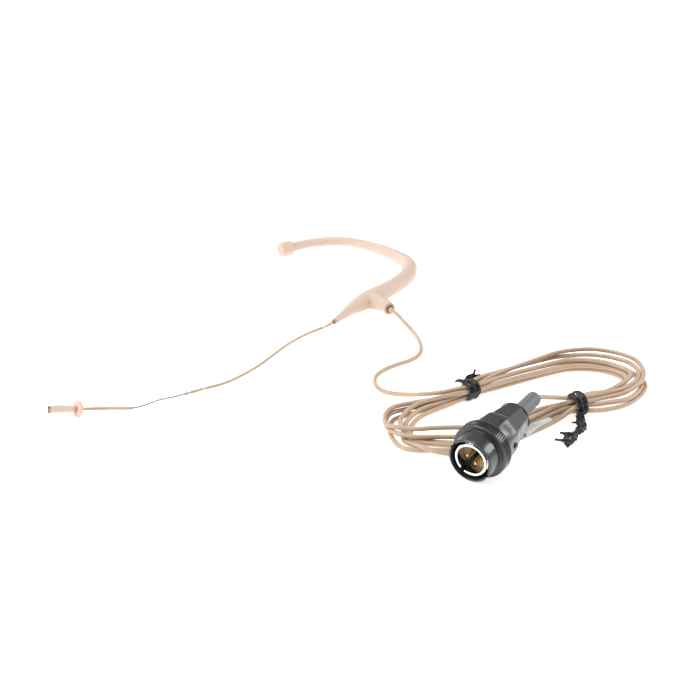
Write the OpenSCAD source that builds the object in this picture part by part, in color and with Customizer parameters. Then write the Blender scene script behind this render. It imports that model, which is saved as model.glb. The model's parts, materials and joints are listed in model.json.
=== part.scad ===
// Ear-worn headset microphone lying on a table: ear hook, thin boom with its
// microphone capsule, and a detachable cable wound into a tied hank that ends
// in a bayonet plug. Millimetres. +Z is up, the origin is on the table under
// the middle of the ear piece and boom.

/* [Ear hook] */
// Radius of the hook's thick body where the branch joins
hook_r = 3.25; // [3:0.05:3.5]
// Radius of the slim arm that goes over the ear
arm_r = 2.0; // [1.8:0.05:2.2]
// Radius of the metal core wire inside the hook
core_r = 0.6; // [0.4:0.05:0.8]
// Radius of the cap on the hook's tip
tip_r = 3.1; // [2.8:0.05:3.2]
// Length of the cap on the hook's tip
tip_len = 6; // [5:0.25:7]

/* [Boom] */
// Radius of the steel boom wire
wire_r = 0.24; // [0.2:0.01:0.26]
// Outer radius of the skin-coloured coating on the boom
coat_r = 0.45; // [0.4:0.01:0.47]

/* [Capsule] */
// Radius of the capsule body
capsule_r = 1.0; // [0.95:0.01:1.02]
// Outer radius of the protective cap
cap_r = 1.2; // [1.18:0.01:1.3]
// Distance from the moisture ring's middle to the capsule's front face
capsule_reach = 9.6; // [9.4:0.1:10.5]
// Outer radius of the moisture ring
ring_r = 2.8; // [2.5:0.05:2.85]
// Thickness of the moisture ring
ring_t = 1.5; // [1.2:0.1:1.6]

/* [Cable] */
// Radius of the cable
cable_r = 0.75; // [0.6:0.05:0.8]
// Height of the tied hank's body above its underside
hank_h = 4.6; // [4:0.1:5]
// Outer radius of a twist tie's band
tie_r = 3.6; // [3.4:0.05:3.7]
// Width of a twist tie's band
tie_w = 4; // [3:0.25:5]

/* [Plug] */
// Outer radius of the coupling ring's smooth hood at its front rim
hood_r = 6.95; // [6.8:0.05:7.1]
// Outer radius over the coupling ring's knurl
knurl_r = 8.3; // [8:0.05:8.35]
// Number of ribs round the knurl
knurl_n = 72; // [60:1:80]
// Outer radius of the silver shell
shell_r = 5.0; // [4.9:0.05:5.1]
// Radius of a contact pin
pin_r = 0.45; // [0.35:0.05:0.5]
// Distance of each contact pin from the plug's axis
pin_off = 1.55; // [1.4:0.05:1.8]
// Radius of the backshell's collar across its corners
collar_r = 7.1; // [6.9:0.05:7.3]
// Radius of the strain relief boot at its base
boot_r = 2.45; // [2.3:0.05:2.6]

/* [Hidden] */
$fn = 48;
gap = 0.05;          // running clearance round a part that slides or turns
skin_sides = 16;     // sides of the hook's skin
cord_sides = 8;      // sides of a cord or wire
coat_in = wire_r + 0.01;
hook_z = 3.25;       // height of the hook's middle plane
socket_depth = 6.3;
coupler_len = 9.3;   // front rim to rear face of the coupling ring
boot_end = 39.7;     // front rim to the end of the boot

// Colours
skin = [0.91, 0.80, 0.71];
tan = [0.78, 0.67, 0.55];
steel = [0.66, 0.66, 0.68];
black = [0.16, 0.16, 0.17];
gold = [0.86, 0.67, 0.33];

// The hook's centre line from the nose, round the ear, to the tip: x, y, z, radius
hook_line = [[26.8, -6.8, 3.0, 1.2], [29.2, -2.7, 3.1, 1.55], [32.9, 3.8, 3.2, 2.3],
    [37, 9.8, hook_z, hook_r - 0.1], [42.1, 16.2, hook_z, hook_r], [47.2, 22.2, hook_z, 3.1],
    [52.2, 29.6, hook_z, 3.1], [55.6, 37.3, hook_z, 3.15], [56.6, 44.8, hook_z, 3.1],
    [55, 51.3, hook_z, 2.9], [51.3, 57.8, hook_z, 2.55], [44.9, 65.5, 3.2, 2.2],
    [36, 72, 3.2, arm_r], [27.3, 74.7, 3.2, arm_r], [17, 73.1, 3.2, arm_r], [7.6, 67.5, 3.2, arm_r]];
// The branch that carries the cable socket
branch_line = [[38.4, 11.4, hook_z, 2.7], [41.8, 11.4, hook_z, 2.7], [44.8, 8.4, 3.2, 2.6],
    [46.1, 6, 3.2, 2.5], [47.2, 4, 3.2, 2.4]];
// The signal lead inside the hook, from the boom's end to the socket
inner_line = [[28.2, -4.4, 3.05], [30, -1.3, 3.1], [33.4, 4.4, 3.15], [37.2, 9, 3.2],
    [41, 10.6, 3.2], [44, 9.8, 3.2]];
// The core wire starts behind the branch and ends in the tip cap
core_line = [[40.5, 14.2, hook_z], [42.1, 16.2, hook_z], [47.2, 22.2, hook_z], [52.2, 29.6, hook_z],
    [55.6, 37.3, hook_z], [56.6, 44.8, hook_z], [55, 51.3, hook_z], [51.3, 57.8, hook_z],
    [44.9, 65.5, 3.2], [36, 72, 3.2], [27.3, 74.7, 3.2], [17, 73.1, 3.2], [7.6, 67.5, 3.2],
    [5.5, 65.9, 3.2]];
// The boom behind the capsule: coated, bare, coated islands, then coated to the nose
boom_line = [[-53.6, -72.21, 3.71], [-51.8, -70.7, 2.9], [-49.99, -69.18, 2.09],
    [-48.54, -67.97, 1.43], [-45.5, -66.6, 0.8], [-42, -66.3, 0.7], [-36.1, -66.2, 0.7],
    [-33, -64.8, 0.7], [-30.5, -62.8, 0.7],
    [-27.8, -60.7, 0.7], [-24, -59, 0.7], [-21.1, -57.4, 0.75], [-19.4, -56.5, 0.8],
    [-18.6, -56, 0.8], [-15.6, -54.3, 0.9], [-14.4, -53.6, 0.9], [-8.6, -50.5, 1.1],
    [-3.8, -45.9, 1.3], [2.1, -38.4, 1.6], [10.5, -24, 2], [16, -17.3, 2.4], [19.7, -13.9, 2.6],
    [22.9, -11.4, 2.8], [23.8, -10.6, 2.85], [26.35, -7.45, 3]];
boom_bare_from = 6;      // the coating's front piece ends at this point of boom_line
boom_island = [11, 12];  // a coated island on the bare stretch
boom_short = [13, 14];   // a short coated piece before a chip
boom_rear = [15, 22];    // the long coated piece
boom_last = [23, 24];    // the coated end at the nose

// The cable from the ear plug to the hank, and from the hank to the plug's boot
lead_line = [[48.85, 1.03, 3.2], [50.3, -1.8, 3], [52, -5.4, 2.4], [53.9, -8.6, 1.6],
    [55.2, -11.4, 1.1], [56.9, -17.6, 0.8], [57.3, -24.7, 0.8], [56.1, -29.6, 0.8],
    [53.1, -33.3, 0.8], [48.8, -36.3, 0.8], [45.6, -38.9, 0.8], [42.8, -42, 0.8],
    [41, -45.5, 0.8], [40.6, -49.3, 0.8], [41.6, -53.2, 0.8], [43.8, -55.7, 0.8],
    [46.9, -57.2, 1], [51.7, -59.2, 1.8], [56.6, -61, 3], [62, -61.6, 4], [66.5, -60.6, 4.5]];
tail_line = [[88.25, -76.4, 10.08], [89.7, -74.5, 9.9], [92, -72.5, 9], [95.2, -70.6, 7.4],
    [98.6, -68.9, 5.6]];
// The hank seen from above: its outer and inner outlines, pinched at the two ties
hank_outer = [[70.5, -56.2], [79, -48.7], [86.2, -43.2], [93.2, -38.3], [100.3, -34.6],
    [107.3, -32.4], [114.2, -31.7], [120.9, -32.9], [126.2, -36.3], [129.3, -41.2], [129.5, -47.6],
    [128, -55], [125.6, -61.3], [118, -66.3], [111, -68.4], [103.9, -68.4], [97.6, -73.4],
    [87.2, -82.8], [75, -90.3], [61.3, -95.2], [54, -93.6], [47.8, -91], [44.4, -86.5], [42.4, -80],
    [43.4, -75.6], [46.6, -71.6], [50.6, -68], [55.6, -65.6], [62.5, -62.6], [67, -59.8]];
hank_inner = [[72.7, -59.2], [80, -54], [90, -48], [100, -45], [108, -43.6], [114.5, -44.2],
    [119.6, -46.8], [121.8, -50.6], [118.5, -55.2], [110.5, -60.6], [101.9, -65.2], [93, -70.8],
    [84, -76], [75, -79.5], [66, -81], [58.5, -81.2], [54, -78.5], [54, -75.3], [57.5, -71.3],
    [62.5, -66.8], [68, -62]];
hank_z = 1;                    // underside of the hank's body
tie_1_at = [71.6, -57.7];      // middle of the first tie
tie_1_turn = 37;               // direction of the bundle there
tie_2_at = [102.9, -66.8];
tie_2_turn = 33;
tie_1_tail = [[71, -54.8, 6.6, 0.5], [72.2, -53.4, 7.2, 0.8], [74, -52.4, 7.4, 0.8],
    [75.8, -52, 7.6, 0.4]];
tie_2_tail = [[103.1, -69.6, 1.9, 0.6], [104.2, -74, 1.2, 1.1], [103.2, -78, 1.2, 1.2],
    [100.8, -81, 1.2, 1.1], [98.6, -85, 1.1, 1.1], [96.4, -89.5, 0.7, 0.5]];
sleeve_from = [85, -82, 1.2];
sleeve_len = 12.5;
sleeve_turn = 44;

// ---------- curves and swept solids ----------
function unit(v) = v / norm(v);
function clamp(i, p) = max(0, min(len(p) - 1, i));
function blend(a, b, c, d, t) =
    0.5 * (2 * b + (c - a) * t + (2 * a - 5 * b + 4 * c - d) * t * t
    + (3 * b - a - 3 * c + d) * t * t * t);
// A smooth curve through the points, with this many steps from one to the next
function smooth(p, steps) = concat(
    [for (i = [0:len(p) - 2], s = [0:steps - 1])
        blend(p[clamp(i - 1, p)], p[i], p[i + 1], p[clamp(i + 2, p)], s / steps)],
    [p[len(p) - 1]]);
function smooth_loop(p, steps) =
    [for (i = [0:len(p) - 1], s = [0:steps - 1])
        blend(p[(i + len(p) - 1) % len(p)], p[i], p[(i + 1) % len(p)], p[(i + 2) % len(p)], s / steps)];
function part_of(p, span) = [for (i = [span[0]:span[1]]) p[i]];
function xyz(p) = [p[0], p[1], p[2]];
function heading(p, i) = unit(xyz(p[clamp(i + 1, p)]) - xyz(p[clamp(i - 1, p)]));
function across(t) = unit(cross([0, 0, 1], t));
// Points of one ring of a tube round point i of the path
function ring(p, i, r, sides) =
    let (t = heading(p, i), a = across(t), b = cross(t, a))
    [for (k = [0:sides - 1]) xyz(p[i]) + r * (cos(360 * k / sides) * a + sin(360 * k / sides) * b)];
function walls(rings, sides, base, flip) =
    [for (i = [0:rings - 2], k = [0:sides - 1], half = [0, 1])
        let (a = base + i * sides + k, b = base + i * sides + (k + 1) % sides,
             c = a + sides, d = b + sides,
             f = half == 0 ? [a, c, d] : [a, d, b])
        flip ? [f[2], f[1], f[0]] : f];
function lid(at, sides, flip) =
    [[for (k = [0:sides - 1]) at + (flip ? sides - 1 - k : k)]];
function rim(outer, inner, sides, flip) =
    [for (k = [0:sides - 1], half = [0, 1])
        let (n = (k + 1) % sides,
             f = half == 0 ? [outer + k, outer + n, inner + n] : [outer + k, inner + n, inner + k])
        flip ? [f[2], f[1], f[0]] : f];

// A solid rod along a path; r = 0 takes each point's own fourth number as its radius
module rod(path, r, sides) {
    n = len(path);
    points = [for (i = [0:n - 1]) each ring(path, i, r == 0 ? path[i][3] : r, sides)];
    polyhedron(points, concat(lid(0, sides, false), walls(n, sides, 0, false),
        lid((n - 1) * sides, sides, true)));
}

// A pipe along a path, open at both ends
module pipe(path, r_out, r_in, sides) {
    n = len(path);
    points = concat([for (i = [0:n - 1]) each ring(path, i, r_out, sides)],
        [for (i = [0:n - 1]) each ring(path, i, r_in, sides)]);
    inner = n * sides;
    polyhedron(points, concat(walls(n, sides, 0, false), walls(n, sides, inner, true),
        rim(0, inner, sides, false), rim((n - 1) * sides, inner + (n - 1) * sides, sides, true)));
}

// A round part turned from an outline of [radius, height] points
module turned(outline) {
    rotate_extrude($fn = 64) polygon(outline);
}

module tube(r_out, r_in, from, to) {
    translate([0, 0, from]) difference() {
        cylinder(r = r_out, h = to - from);
        translate([0, 0, -1]) cylinder(r = r_in, h = to - from + 2);
    }
}

// ---------- places ----------
// Each of these puts its children on a part's own axis, which becomes +Z there
module at_nose() { translate([26.8, -6.8, 3]) rotate([0, 90, 237]) children(); }
module at_socket() { translate([47.2, 4, 3.2]) rotate([0, 90, -61]) children(); }
module at_tip() { translate([7.6, 67.5, 3.2]) rotate([0, 90, 217]) children(); }
module at_capsule() { translate([-51.8, -70.7, 2.9]) rotate([0, 71, 220]) children(); }
module at_plug() { translate([65.4, -108.8, 8]) rotate([0, 87, 54.8]) children(); }

// ---------- ear hook ----------
module ear_hook() {
    color(skin) difference() {
        union() {
            rod(smooth(hook_line, 3), 0, skin_sides);
            rod(smooth(branch_line, 3), 0, skin_sides);
        }
        rod(smooth(core_line, 3), core_r + 0.02, cord_sides);
        rod(smooth(inner_line, 3), 0.42, cord_sides);
        at_nose() translate([0, 0, -2]) cylinder(r = 0.8, h = 3);
        at_socket() translate([0, 0, -socket_depth - 0.2]) cylinder(r = 1.62, h = 8);
        at_socket() translate([0, 0, -0.8]) cylinder(r = 2.02, h = 2);
    }
}

module hook_core_wire() {
    color(steel) rod(smooth(core_line, 3), core_r, cord_sides);
}

module hook_tip_cap() {
    edge = 0.9;
    color(skin) at_tip() difference() {
        turned([[0, 0.05], [tip_r - edge, 0.05], [tip_r - 0.25, 0.35], [tip_r, edge + 0.1],
            [tip_r, tip_len - edge], [tip_r - 0.3, tip_len - 0.3], [tip_r - edge, tip_len],
            [0.7, tip_len], [0.5, tip_len - 0.4], [0, tip_len - 0.5]]);
        translate([0, 0, -1]) cylinder(r = core_r + 0.15, h = 4);
    }
}

module nose_ferrule() {
    color(tan) at_nose() {
        tube(0.78, 0.5, -1.9, 0);
        tube(1.05, 0.5, 0, 0.45);
    }
}

module inner_lead() {
    color("firebrick") rod(smooth(inner_line, 3), 0.35, cord_sides);
}

module branch_collar() {
    color(tan) at_socket() tube(2, 1.35, -0.78, 0.35);
}

module socket_barrel() {
    color(gold) at_socket() tube(1.6, 0.95, -socket_depth, -0.8);
}

module socket_insulator() {
    color("white") at_socket() tube(0.93, 0.32, -6.2, -5.4);
}

module socket_contact() {
    color(gold) at_socket() tube(0.3, 0.18, -6.15, -3.6);
}

// ---------- boom ----------
module boom_wire() {
    color(steel) rod(smooth(boom_line, 3), wire_r, cord_sides);
}

module coating(span) {
    fine = smooth(boom_line, 3);
    pipe(part_of(fine, 3 * span), coat_r, coat_in, cord_sides);
}

module boom_coating_front() {
    color(tan) coating([0, boom_bare_from]);
}

module boom_coating_islands() {
    color(tan) {
        coating(boom_island);
        coating(boom_short);
        coating(boom_last);
    }
}

module boom_coating_rear() {
    color(tan) coating(boom_rear);
}

// ---------- capsule ----------
module capsule_neck() {
    color(gold) at_capsule() {
        tube(0.6, 0.48, 1, 2.6);
    }
}

module capsule_body() {
    color(skin) at_capsule() turned([[0.62, 1.9], [0.85, 1.9], [0.95, 2.1], [capsule_r - 0.02, 4],
        [capsule_r, 4.2], [capsule_r, 8.9], [0.82, 8.9], [0.82, 2.8], [0.62, 2.6]]);
}

module amplifier_board() {
    color("darkgreen") at_capsule() translate([0, 0, 5]) cylinder(r = 0.78, h = 0.3);
}

module element_gasket() {
    color("dimgray") at_capsule() tube(0.8, 0.5, 5.4, 5.9);
}

module element_can() {
    color("silver") at_capsule() difference() {
        translate([0, 0, 5.95]) cylinder(r = 0.8, h = 2.6);
        translate([0, 0, 8]) cylinder(r = 0.25, h = 1);
    }
}

module moisture_ring() {
    h = ring_t / 2;
    color([0.95, 0.80, 0.72]) at_capsule() rotate_extrude($fn = 64) difference() {
        hull() {
            translate([ring_r - h, 0]) circle(r = h, $fn = 32);
            translate([0.53, -h]) square([0.5, ring_t]);
        }
        polygon([[0, -h - 1], [0.53, -h - 1], [0.53, 0], [1.05, h], [1.05, h + 1], [0, h + 1]]);
    }
}

module protective_cap() {
    front = capsule_reach;
    bore = capsule_r + gap;
    color(skin) at_capsule() turned([[bore, 4.5], [cap_r - 0.06, 4.5], [cap_r, 4.7], [cap_r, front - 0.25],
        [cap_r - 0.12, front], [1.0, front], [1.0, front - 0.35], [bore, front - 0.35]]);
}

module cap_mesh() {
    color("gray") at_capsule() translate([0, 0, capsule_reach - 0.6]) cylinder(r = 0.98, h = 0.15);
}

module cap_ring() {
    color(black) at_capsule() tube(0.99, 0.66, capsule_reach - 0.42, capsule_reach + 0.02);
}

// ---------- ear plug and cable ----------
module ear_plug_barrel() {
    color(gold) at_socket() tube(0.95 - gap, 0.6, -5.2, 0.5);
}

module ear_plug_insulator() {
    color("white") at_socket() tube(0.58, 0.16, -3.3, -1.5);
}

module ear_plug_pin() {
    color(gold) at_socket() translate([0, 0, -5.8]) cylinder(r = 0.15, h = 4.8);
}

module ear_plug_relief() {
    color(tan) at_socket() turned([[0, 0.5], [1, 0.5], [1, 0.9], [cable_r + 0.05, 3.4], [0, 3.4]]);
}

module cable_lead() {
    color(tan) rod(smooth(lead_line, 3), cable_r, cord_sides);
}

module cable_tail() {
    color(tan) rod(smooth(tail_line, 3), cable_r, cord_sides);
}

module cable_hank() {
    color(tan) difference() {
        translate([0, 0, hank_z]) linear_extrude(hank_h) difference() {
            polygon(smooth_loop(hank_outer, 3));
            polygon(smooth_loop(hank_inner, 3));
        }
        at_plug() turned([[0, -2], [collar_r + 0.6, -2], [collar_r + 0.6, 17.5], [collar_r, 17.5],
            [5.6, 27.8], [3, 27.8], [3, 36], [0, 36]]);
    }
}

module tie_band(at, turn) {
    translate([at[0], at[1], tie_r]) rotate([0, 90, turn]) translate([0, 0, -tie_w / 2])
        tube(tie_r, tie_r - 0.8, 0, tie_w);
}

module twist_tie_1() {
    color(black) {
        tie_band(tie_1_at, tie_1_turn);
        rod(smooth(tie_1_tail, 3), 0, cord_sides);
    }
}

module twist_tie_2() {
    color(black) {
        tie_band(tie_2_at, tie_2_turn);
        rod(smooth(tie_2_tail, 3), 0, cord_sides);
    }
}

module label_sleeve() {
    color("gainsboro") translate(sleeve_from) rotate([0, 90, sleeve_turn]) tube(1.1, 0.8, 0, sleeve_len);
}

// ---------- plug ----------
module knurl_outline() {
    root = knurl_r - 0.4;
    polygon([for (i = [0:knurl_n - 1], e = [[-0.28, root], [-0.2, knurl_r], [0.2, knurl_r], [0.28, root]])
        let (a = 360 * (i + e[0]) / knurl_n) [e[1] * cos(a), e[1] * sin(a)]]);
}

module coupling_ring() {
    inner = hood_r - 0.95;
    color(black) at_plug() difference() {
        union() {
            turned([[0, 0], [hood_r - 0.2, 0], [hood_r, 0.25], [hood_r + 0.35, 5.9], [hood_r + 0.9, 6.3],
                [hood_r + 0.9, 8.9], [hood_r + 0.8, coupler_len], [0, coupler_len]]);
            translate([0, 0, 6.3]) linear_extrude(2.5) knurl_outline();
        }
        translate([0, 0, -1]) cylinder(r = inner, h = 7.5);
        cylinder(r = shell_r + 0.35, h = 12);
        for (a = [123, 303]) rotate(a) translate([inner - 1, -1.1, -1]) cube([4, 2.2, 3.4]);
    }
}

module thrust_washer() {
    color("silver") at_plug() tube(7.5, shell_r + 0.5, coupler_len + 0.1, coupler_len + 0.4);
}

module plug_shell() {
    color("whitesmoke") at_plug() difference() {
        union() {
            translate([0, 0, 0.6]) cylinder(r = shell_r, h = 13.4);
            translate([0, 0, coupler_len + 0.5]) cylinder(r = shell_r + 0.6, h = 1.5);
        }
        translate([0, 0, -1]) cylinder(r = shell_r - 0.75, h = 20);
        rotate(33) translate([2, -0.7, -1]) cube([4, 1.4, 4.6]);
    }
}

module shell_spring() {
    color("silver") at_plug() intersection() {
        tube(shell_r + 0.32, shell_r + 0.02, 1.2, 7.5);
        union() for (a = [174, 270]) rotate(a) translate([0, -1.5, 0]) cube([8, 3, 9]);
    }
}

module plug_insulator() {
    color([0.47, 0.37, 0.24]) at_plug() difference() {
        translate([0, 0, 4.2]) cylinder(r = shell_r - 0.8, h = 6);
        for (side = [-1, 1]) rotate(123) translate([side * pin_off, 0, -1]) cylinder(r = pin_r + 0.01, h = 20);
        rotate(33) translate([-1, -0.62, 0]) cube([8, 1.24, 6]);
    }
}

module key_bar() {
    color(black) at_plug() rotate(33) translate([-0.95, -0.6, 2]) cube([5.1, 1.2, 3.9]);
}

module contact_pins() {
    color(gold) at_plug() for (side = [-1, 1]) rotate(123) translate([side * pin_off, 0, 0])
        turned([[0, 0.8], [pin_r - 0.2, 0.85], [pin_r, 1.15], [pin_r, 11.8], [0, 11.8]]);
}

module termination_board() {
    color("darkgreen") at_plug() rotate(123) translate([-2.6, -0.5, 12]) cube([5.2, 1, 7]);
}

module backshell() {
    color(black) at_plug() difference() {
        union() {
            intersection() {
                turned([[0, 9.8], [collar_r + 0.3, 9.8], [collar_r, 16.6], [collar_r - 0.4, 17], [0, 17]]);
                rotate(22.5) translate([0, 0, 9]) cylinder(r = collar_r + 0.35, h = 9, $fn = 8);
            }
            rotate(22.5) translate([0, 0, 16.5]) cylinder(r1 = collar_r - 0.7, r2 = 5, h = 10.1, $fn = 8);
            rotate(22.5) translate([0, 0, 26.2]) cylinder(r1 = 5.04, r2 = 4.4, h = 1.1, $fn = 8);
        }
        translate([0, 0, 9]) cylinder(r = shell_r + 0.65, h = 3);
        translate([0, 0, 9]) cylinder(r = shell_r + 0.02, h = 5.1);
        translate([0, 0, 13]) cylinder(r = 4.2, h = 12);
        translate([0, 0, 20]) cylinder(r = boot_r + 0.02, h = 10);
        rotate(-85) translate([5, 0, 14.5]) rotate([0, 90, 0]) cylinder(r = 0.9, h = 4);
    }
}

module lock_screw() {
    color("silver") at_plug() rotate(-85) translate([5.1, 0, 14.5]) rotate([0, 90, 0]) difference() {
        cylinder(r = 0.87, h = 2.1);
        translate([-0.15, -1, 1.75]) cube([0.3, 2, 1]);
    }
}

module cable_clamp() {
    color("silver") at_plug() tube(4.1, cable_r + 0.05, 21, 22.8);
}

module strain_relief_boot() {
    color("gray") at_plug() difference() {
        union() {
            translate([0, 0, 23]) cylinder(r = 4.1, h = 1.9);
            turned([[0, 24], [boot_r, 24], [boot_r, 30], [boot_r - 0.15, boot_end - 0.5],
                [boot_r - 0.5, boot_end], [0, boot_end]]);
        }
        translate([0, 0, 22]) cylinder(r = cable_r + 0.02, h = 18);
    }
}

ear_hook();
hook_core_wire();
hook_tip_cap();
nose_ferrule();
inner_lead();
branch_collar();
socket_barrel();
socket_insulator();
socket_contact();
boom_wire();
boom_coating_front();
boom_coating_islands();
boom_coating_rear();
capsule_neck();
capsule_body();
element_can();
element_gasket();
amplifier_board();
moisture_ring();
protective_cap();
cap_mesh();
cap_ring();
ear_plug_barrel();
ear_plug_insulator();
ear_plug_pin();
ear_plug_relief();
cable_lead();
cable_hank();
cable_tail();
twist_tie_1();
twist_tie_2();
label_sleeve();
coupling_ring();
thrust_washer();
plug_shell();
shell_spring();
plug_insulator();
key_bar();
contact_pins();
termination_board();
backshell();
lock_screw();
cable_clamp();
strain_relief_boot();
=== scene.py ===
import json
import math

import bmesh
import bpy
import numpy as np
from mathutils import Matrix, Vector


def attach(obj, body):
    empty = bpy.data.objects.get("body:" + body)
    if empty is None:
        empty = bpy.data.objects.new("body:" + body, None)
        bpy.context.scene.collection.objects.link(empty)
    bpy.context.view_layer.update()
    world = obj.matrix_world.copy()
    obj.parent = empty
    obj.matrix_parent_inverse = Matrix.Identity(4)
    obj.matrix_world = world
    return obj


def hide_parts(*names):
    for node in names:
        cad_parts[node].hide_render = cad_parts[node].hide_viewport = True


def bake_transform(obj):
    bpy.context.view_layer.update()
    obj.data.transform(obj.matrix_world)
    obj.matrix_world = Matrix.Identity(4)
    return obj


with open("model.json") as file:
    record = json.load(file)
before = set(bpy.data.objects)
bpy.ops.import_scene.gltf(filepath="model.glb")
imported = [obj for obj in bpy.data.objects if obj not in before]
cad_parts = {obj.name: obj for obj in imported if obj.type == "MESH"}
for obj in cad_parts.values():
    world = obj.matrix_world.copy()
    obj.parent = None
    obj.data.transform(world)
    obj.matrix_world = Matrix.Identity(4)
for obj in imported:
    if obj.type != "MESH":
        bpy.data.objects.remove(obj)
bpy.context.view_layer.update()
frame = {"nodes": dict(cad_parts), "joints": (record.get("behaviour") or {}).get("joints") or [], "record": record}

MM = 0.001
TINY = 1e-6

# ---------- places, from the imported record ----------
joints = {j["name"]: j for j in frame["joints"]}
mounts = {m["name"]: m for m in frame["record"]["mounts"]}


def place(origin, axis):
    """The matrix whose +Z is axis, with +Y level and to its left, and +X below it."""
    z = Vector(axis).normalized()
    y = Vector((0, 0, 1)).cross(z).normalized()
    x = y.cross(z)
    turn = Matrix((x, y, z)).transposed()
    return Matrix.Translation(Vector(origin)) @ turn.to_4x4()


NOSE_DIRECTION = (math.cos(math.radians(237)), math.sin(math.radians(237)), 0)
TIP_DIRECTION = (math.cos(math.radians(217)), math.sin(math.radians(217)), 0)
SEAT_BACK = 7 * MM      # the windscreen seat's place in front of the moisture ring's middle

at_plug = place(joints["coupling_turn"]["pos_m"], joints["coupling_turn"]["axis"])
capsule_axis = Vector(mounts["windscreen_seat"]["axis"])
at_capsule = place(Vector(mounts["windscreen_seat"]["pos_m"]) - SEAT_BACK * capsule_axis, capsule_axis)
at_nose = place((26.8 * MM, -6.8 * MM, 3 * MM), NOSE_DIRECTION)
at_socket = place((47.2 * MM, 4 * MM, 3.2 * MM), joints["cable_pull"]["axis"])
at_tip = place((7.6 * MM, 67.5 * MM, 3.2 * MM), TIP_DIRECTION)


# ---------- curves ----------
def unit(v):
    """The vector at length one."""
    return v / np.linalg.norm(v)


def smooth(points, steps):
    """A Catmull-Rom curve through the points, which may carry a radius as a fourth number."""
    p = np.array(points, float)
    p = np.vstack([p[0], p, p[-1]])
    t = np.linspace(0, 1, steps, endpoint=False)[:, None]
    out = []
    for a, b, c, d in zip(p[:-3], p[1:-2], p[2:-1], p[3:]):
        bend = 2 * b + (c - a) * t + (2 * a - 5 * b + 4 * c - d) * t**2 + (3 * b - a - 3 * c + d) * t**3
        out.append(0.5 * bend)
    return np.vstack([*out, p[-1:]])


def lengths(path):
    """The distance along the path to each of its points."""
    steps = np.linalg.norm(np.diff(path[:, :3], axis=0), axis=1)
    return np.concatenate([[0], np.cumsum(steps)])


def resample(path, step):
    """The same curve with evenly spaced points."""
    run = lengths(path)
    count = max(2, int(round(run[-1] / step)) + 1)
    even = np.linspace(0, run[-1], count)
    return np.column_stack([np.interp(even, run, path[:, k]) for k in range(path.shape[1])])


def between(path, start, end):
    """The stretch of the path from one distance along it to another."""
    run = lengths(path)
    inside = (run > start) & (run < end)
    ends = [[np.interp(s, run, path[:, k]) for k in range(path.shape[1])] for s in (start, end)]
    return np.vstack([ends[0], path[inside], ends[1]])


def along(path):
    """Unit tangents and a pair of cross directions that don't twist along the path."""
    p = path[:, :3]
    tangent = np.gradient(p, axis=0)
    tangent /= np.linalg.norm(tangent, axis=1)[:, None]
    side = unit(np.cross([0, 0, 1.0], tangent[0]))
    sides = [side]
    for t in tangent[1:]:
        side = unit(side - t * (side @ t))
        sides.append(side)
    sides = np.array(sides)
    return tangent, sides, np.cross(tangent, sides)


# ---------- the camera ----------
scene = bpy.context.scene
LENS = 55.0
SENSOR = 36.0
CAMERA_AT = Vector((32.5, -358.9, 167)) * MM
CAMERA_PITCH = math.radians(26.5)

camera_data = bpy.data.cameras.new("camera")
camera_data.lens = LENS
camera_data.sensor_width = SENSOR
camera_data.clip_start = 0.01
camera = bpy.data.objects.new("camera", camera_data)
camera.location = CAMERA_AT
camera.rotation_euler = (math.pi / 2 - CAMERA_PITCH, 0, 0)
scene.collection.objects.link(camera)
scene.camera = camera

# ---------- the cord's route ----------
CABLE_D = 1.5

# Millimetres, as the CAD's cable_lead and cable_tail run
LEAD_LINE = [
    (48.85, 1.03, 3.2), (50.3, -1.8, 3), (52, -5.4, 2.4), (53.9, -8.6, 1.6),
    (55.2, -11.4, 1.1), (56.9, -17.6, 0.8), (57.3, -24.7, 0.8), (56.1, -29.6, 0.8),
    (53.1, -33.3, 0.8), (48.8, -36.3, 0.8), (45.6, -38.9, 0.8), (42.8, -42, 0.8),
    (41, -45.5, 0.8), (40.6, -49.3, 0.8), (41.6, -53.2, 0.8), (43.8, -55.7, 0.8),
    (46.9, -57.2, 1), (51.7, -59.2, 1.8), (56.6, -61, 3), (62, -61.6, 4), (66.5, -60.6, 4.5),
]
TAIL_LINE = [
    (99.5, -67.9, 5.4), (96.6, -70.0, 6.6), (93.8, -72.1, 7.8), (91.2, -74.0, 8.95), (89.4, -75.4, 9.75),
    (88.25, -76.4, 10.08),
]
# The middle line of the hank's turns: far half from tie 1 to tie 2, near half back to tie 1
FAR_HALF = [
    (71.6, -57.7), (82, -49.6), (94, -42.7), (105, -38), (115.5, -37.6),
    (123.6, -42.5), (125, -50), (118.5, -58.2), (110.5, -63), (102.9, -66.8),
]
NEAR_HALF = [
    (93.5, -72.9), (83, -80.4), (71.5, -85.3), (58.5, -86.5), (51, -84.5),
    (47.2, -80.5), (48, -75), (54, -69.5), (63, -63),
]
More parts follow.
